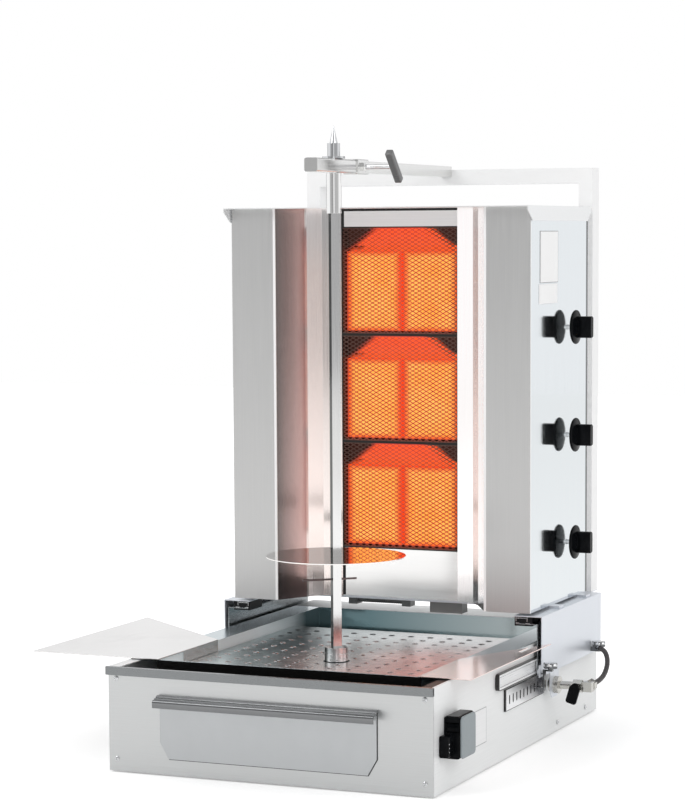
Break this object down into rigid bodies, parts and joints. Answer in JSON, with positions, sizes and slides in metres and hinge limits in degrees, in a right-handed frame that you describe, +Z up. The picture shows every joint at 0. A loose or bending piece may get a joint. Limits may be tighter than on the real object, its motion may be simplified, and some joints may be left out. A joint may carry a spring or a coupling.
{
  "type": "gas doner kebab grill",
  "caption": "Table-top gas doner grill: burner tower on a sliding carriage, upright turning spit with clamped top arm, drip tray with catch shelves and a fat drawer.",
  "frame": {"origin": "on the table under the middle of the base box", "axes": "+X to the side with the gas knobs, +Y to the rear, +Z up; the drawer faces -Y"},
  "size_m": [0.7961, 0.8173, 0.9975],
  "materials": {
    "black_plastic": "black moulded",
    "braid": "braided sleeve over rubber",
    "brass_plated": "nickel plated brass",
    "ceramic": "pale ceramic, glowing when lit",
    "chromed": "bright plated",
    "galvanised": "plain steel, not seen from outside",
    "grey_plastic": "grey moulded",
    "motor_paint": "painted housing",
    "polished": "mirror polished stainless",
    "rubber": "moulded rubber",
    "stainless": "brushed stainless sheet"
  },
  "bodies": {
    "base": {"base_floor": "stainless", "base_side_left": "stainless", "base_side_right": "stainless", "base_front_panel": "stainless", "base_front_lip": "stainless", "base_rear_panel": "stainless", "rubber_feet": "rubber", "base_screws": "chromed", "drip_tray": "polished", "guide_bars": "stainless", "rail_sheets": "galvanised", "notch_rack": "stainless", "gear_motor": "motor_paint", "switch_box": "black_plastic", "drawer_runners": "galvanised"},
    "drawer": {"drawer_box": "stainless", "drawer_front": "stainless", "drawer_handle": "stainless"},
    "grid": {"drip_grid": "stainless"},
    "shelf_left": {"catch_shelf_left": "stainless"},
    "shelf_right": {"catch_shelf_right": "stainless"},
    "rocker": {"switch_rocker": "grey_plastic"},
    "spit": {"drive_hub": "polished", "spit_rod": "stainless", "meat_disc": "polished", "cross_pin": "polished", "top_socket": "stainless"},
    "carriage": {"carriage_wall_left": "stainless", "carriage_wall_right": "stainless", "slide_shoes": "black_plastic", "cross_bars": "stainless", "rear_frame": "stainless", "arm_tube": "stainless", "tower_shell_left": "stainless", "tower_shell_right": "stainless", "reflectors": "polished", "tower_back": "stainless", "top_cover": "stainless", "burner_frame": "stainless", "burner_housings": "galvanised", "ceramic_plates": "ceramic", "burner_guards": "stainless", "gas_manifold": "galvanised", "gas_taps": "brass_plated", "gas_cock": "brass_plated", "gas_hose": "braid", "hose_fitting": "chromed", "wiring_conduit": "grey_plastic"},
    "arm_head": {"arm_sleeve": "stainless", "clamp_block": "stainless"},
    "clamp": {"clamp_screw": "chromed"},
    "pin": {"top_pin": "polished"},
    "latch": {"notch_latch": "chromed"},
    "cock": {"cock_lever": "black_plastic"},
    "knob_push_1": {"knob_spindle_1": "chromed"},
    "knob_turn_1": {"gas_knob_1": "black_plastic"},
    "knob_push_2": {"knob_spindle_2": "chromed"},
    "knob_turn_2": {"gas_knob_2": "black_plastic"},
    "knob_push_3": {"knob_spindle_3": "chromed"},
    "knob_turn_3": {"gas_knob_3": "black_plastic"}
  },
  "joints": [
    {"name": "drawer_slide", "type": "slide", "parent": "base", "child": "drawer", "axis": [0, -1, 0], "range_m": [0, 0.3]},
    {"name": "grid_lift", "type": "slide", "parent": "base", "child": "grid", "axis": [0, 0, 1], "range_m": [0, 0.02]},
    {"name": "shelf_left_lift", "type": "slide", "parent": "base", "child": "shelf_left", "axis": [0, 0, 1], "range_m": [0, 0.02]},
    {"name": "shelf_right_lift", "type": "slide", "parent": "base", "child": "shelf_right", "axis": [0, 0, 1], "range_m": [0, 0.02]},
    {"name": "switch_rock", "type": "hinge", "parent": "base", "child": "rocker", "pos_m": [0.2845, -0.345, 0.1], "axis": [1, 0, 0], "range_deg": [-10, 0]},
    {"name": "spit_spin", "type": "hinge", "parent": "base", "child": "spit", "pos_m": [0, -0.1245, 0], "axis": [0, 0, 1], "continuous": true},
    {"name": "carriage_slide", "type": "slide", "parent": "base", "child": "carriage", "axis": [0, 1, 0], "range_m": [-0.102, 0]},
    {"name": "arm_slide", "type": "slide", "parent": "carriage", "child": "arm_head", "axis": [0, 1, 0], "range_m": [0, 0.102]},
    {"name": "clamp_turn", "type": "hinge", "parent": "arm_head", "child": "clamp", "pos_m": [0.04, -0.0355, 0.9355], "axis": [1, 0, 0], "range_deg": [0, 180]},
    {"name": "pin_lift", "type": "slide", "parent": "arm_head", "child": "pin", "axis": [0, 0, 1], "range_m": [0, 0.06]},
    {"name": "latch_slide", "type": "slide", "parent": "carriage", "child": "latch", "axis": [1, 0, 0], "range_m": [-0.003, 0]},
    {"name": "cock_turn", "type": "hinge", "parent": "carriage", "child": "cock", "pos_m": [0.326, 0.1, 0.09], "axis": [0, -1, 0], "range_deg": [-73.5, 16.5]},
    {"name": "knob_push_1", "type": "slide", "parent": "carriage", "child": "knob_push_1", "axis": [1, 0, 0], "range_m": [-0.004, 0], "stiffness_N_per_m": 600},
    {"name": "knob_turn_1", "type": "hinge", "parent": "knob_push_1", "child": "knob_turn_1", "pos_m": [0.28, 0.242, 0.312], "axis": [1, 0, 0], "range_deg": [0, 180]},
    {"name": "knob_push_2", "type": "slide", "parent": "carriage", "child": "knob_push_2", "axis": [1, 0, 0], "range_m": [-0.004, 0], "stiffness_N_per_m": 600},
    {"name": "knob_turn_2", "type": "hinge", "parent": "knob_push_2", "child": "knob_turn_2", "pos_m": [0.28, 0.242, 0.4925], "axis": [1, 0, 0], "range_deg": [0, 180]},
    {"name": "knob_push_3", "type": "slide", "parent": "carriage", "child": "knob_push_3", "axis": [1, 0, 0], "range_m": [-0.004, 0], "stiffness_N_per_m": 600},
    {"name": "knob_turn_3", "type": "hinge", "parent": "knob_push_3", "child": "knob_turn_3", "pos_m": [0.28, 0.242, 0.6725], "axis": [1, 0, 0], "range_deg": [0, 180]}
  ],
  "couplings": [
    {"joint": "arm_slide", "follows": "carriage_slide", "ratio": -1}
  ]
}
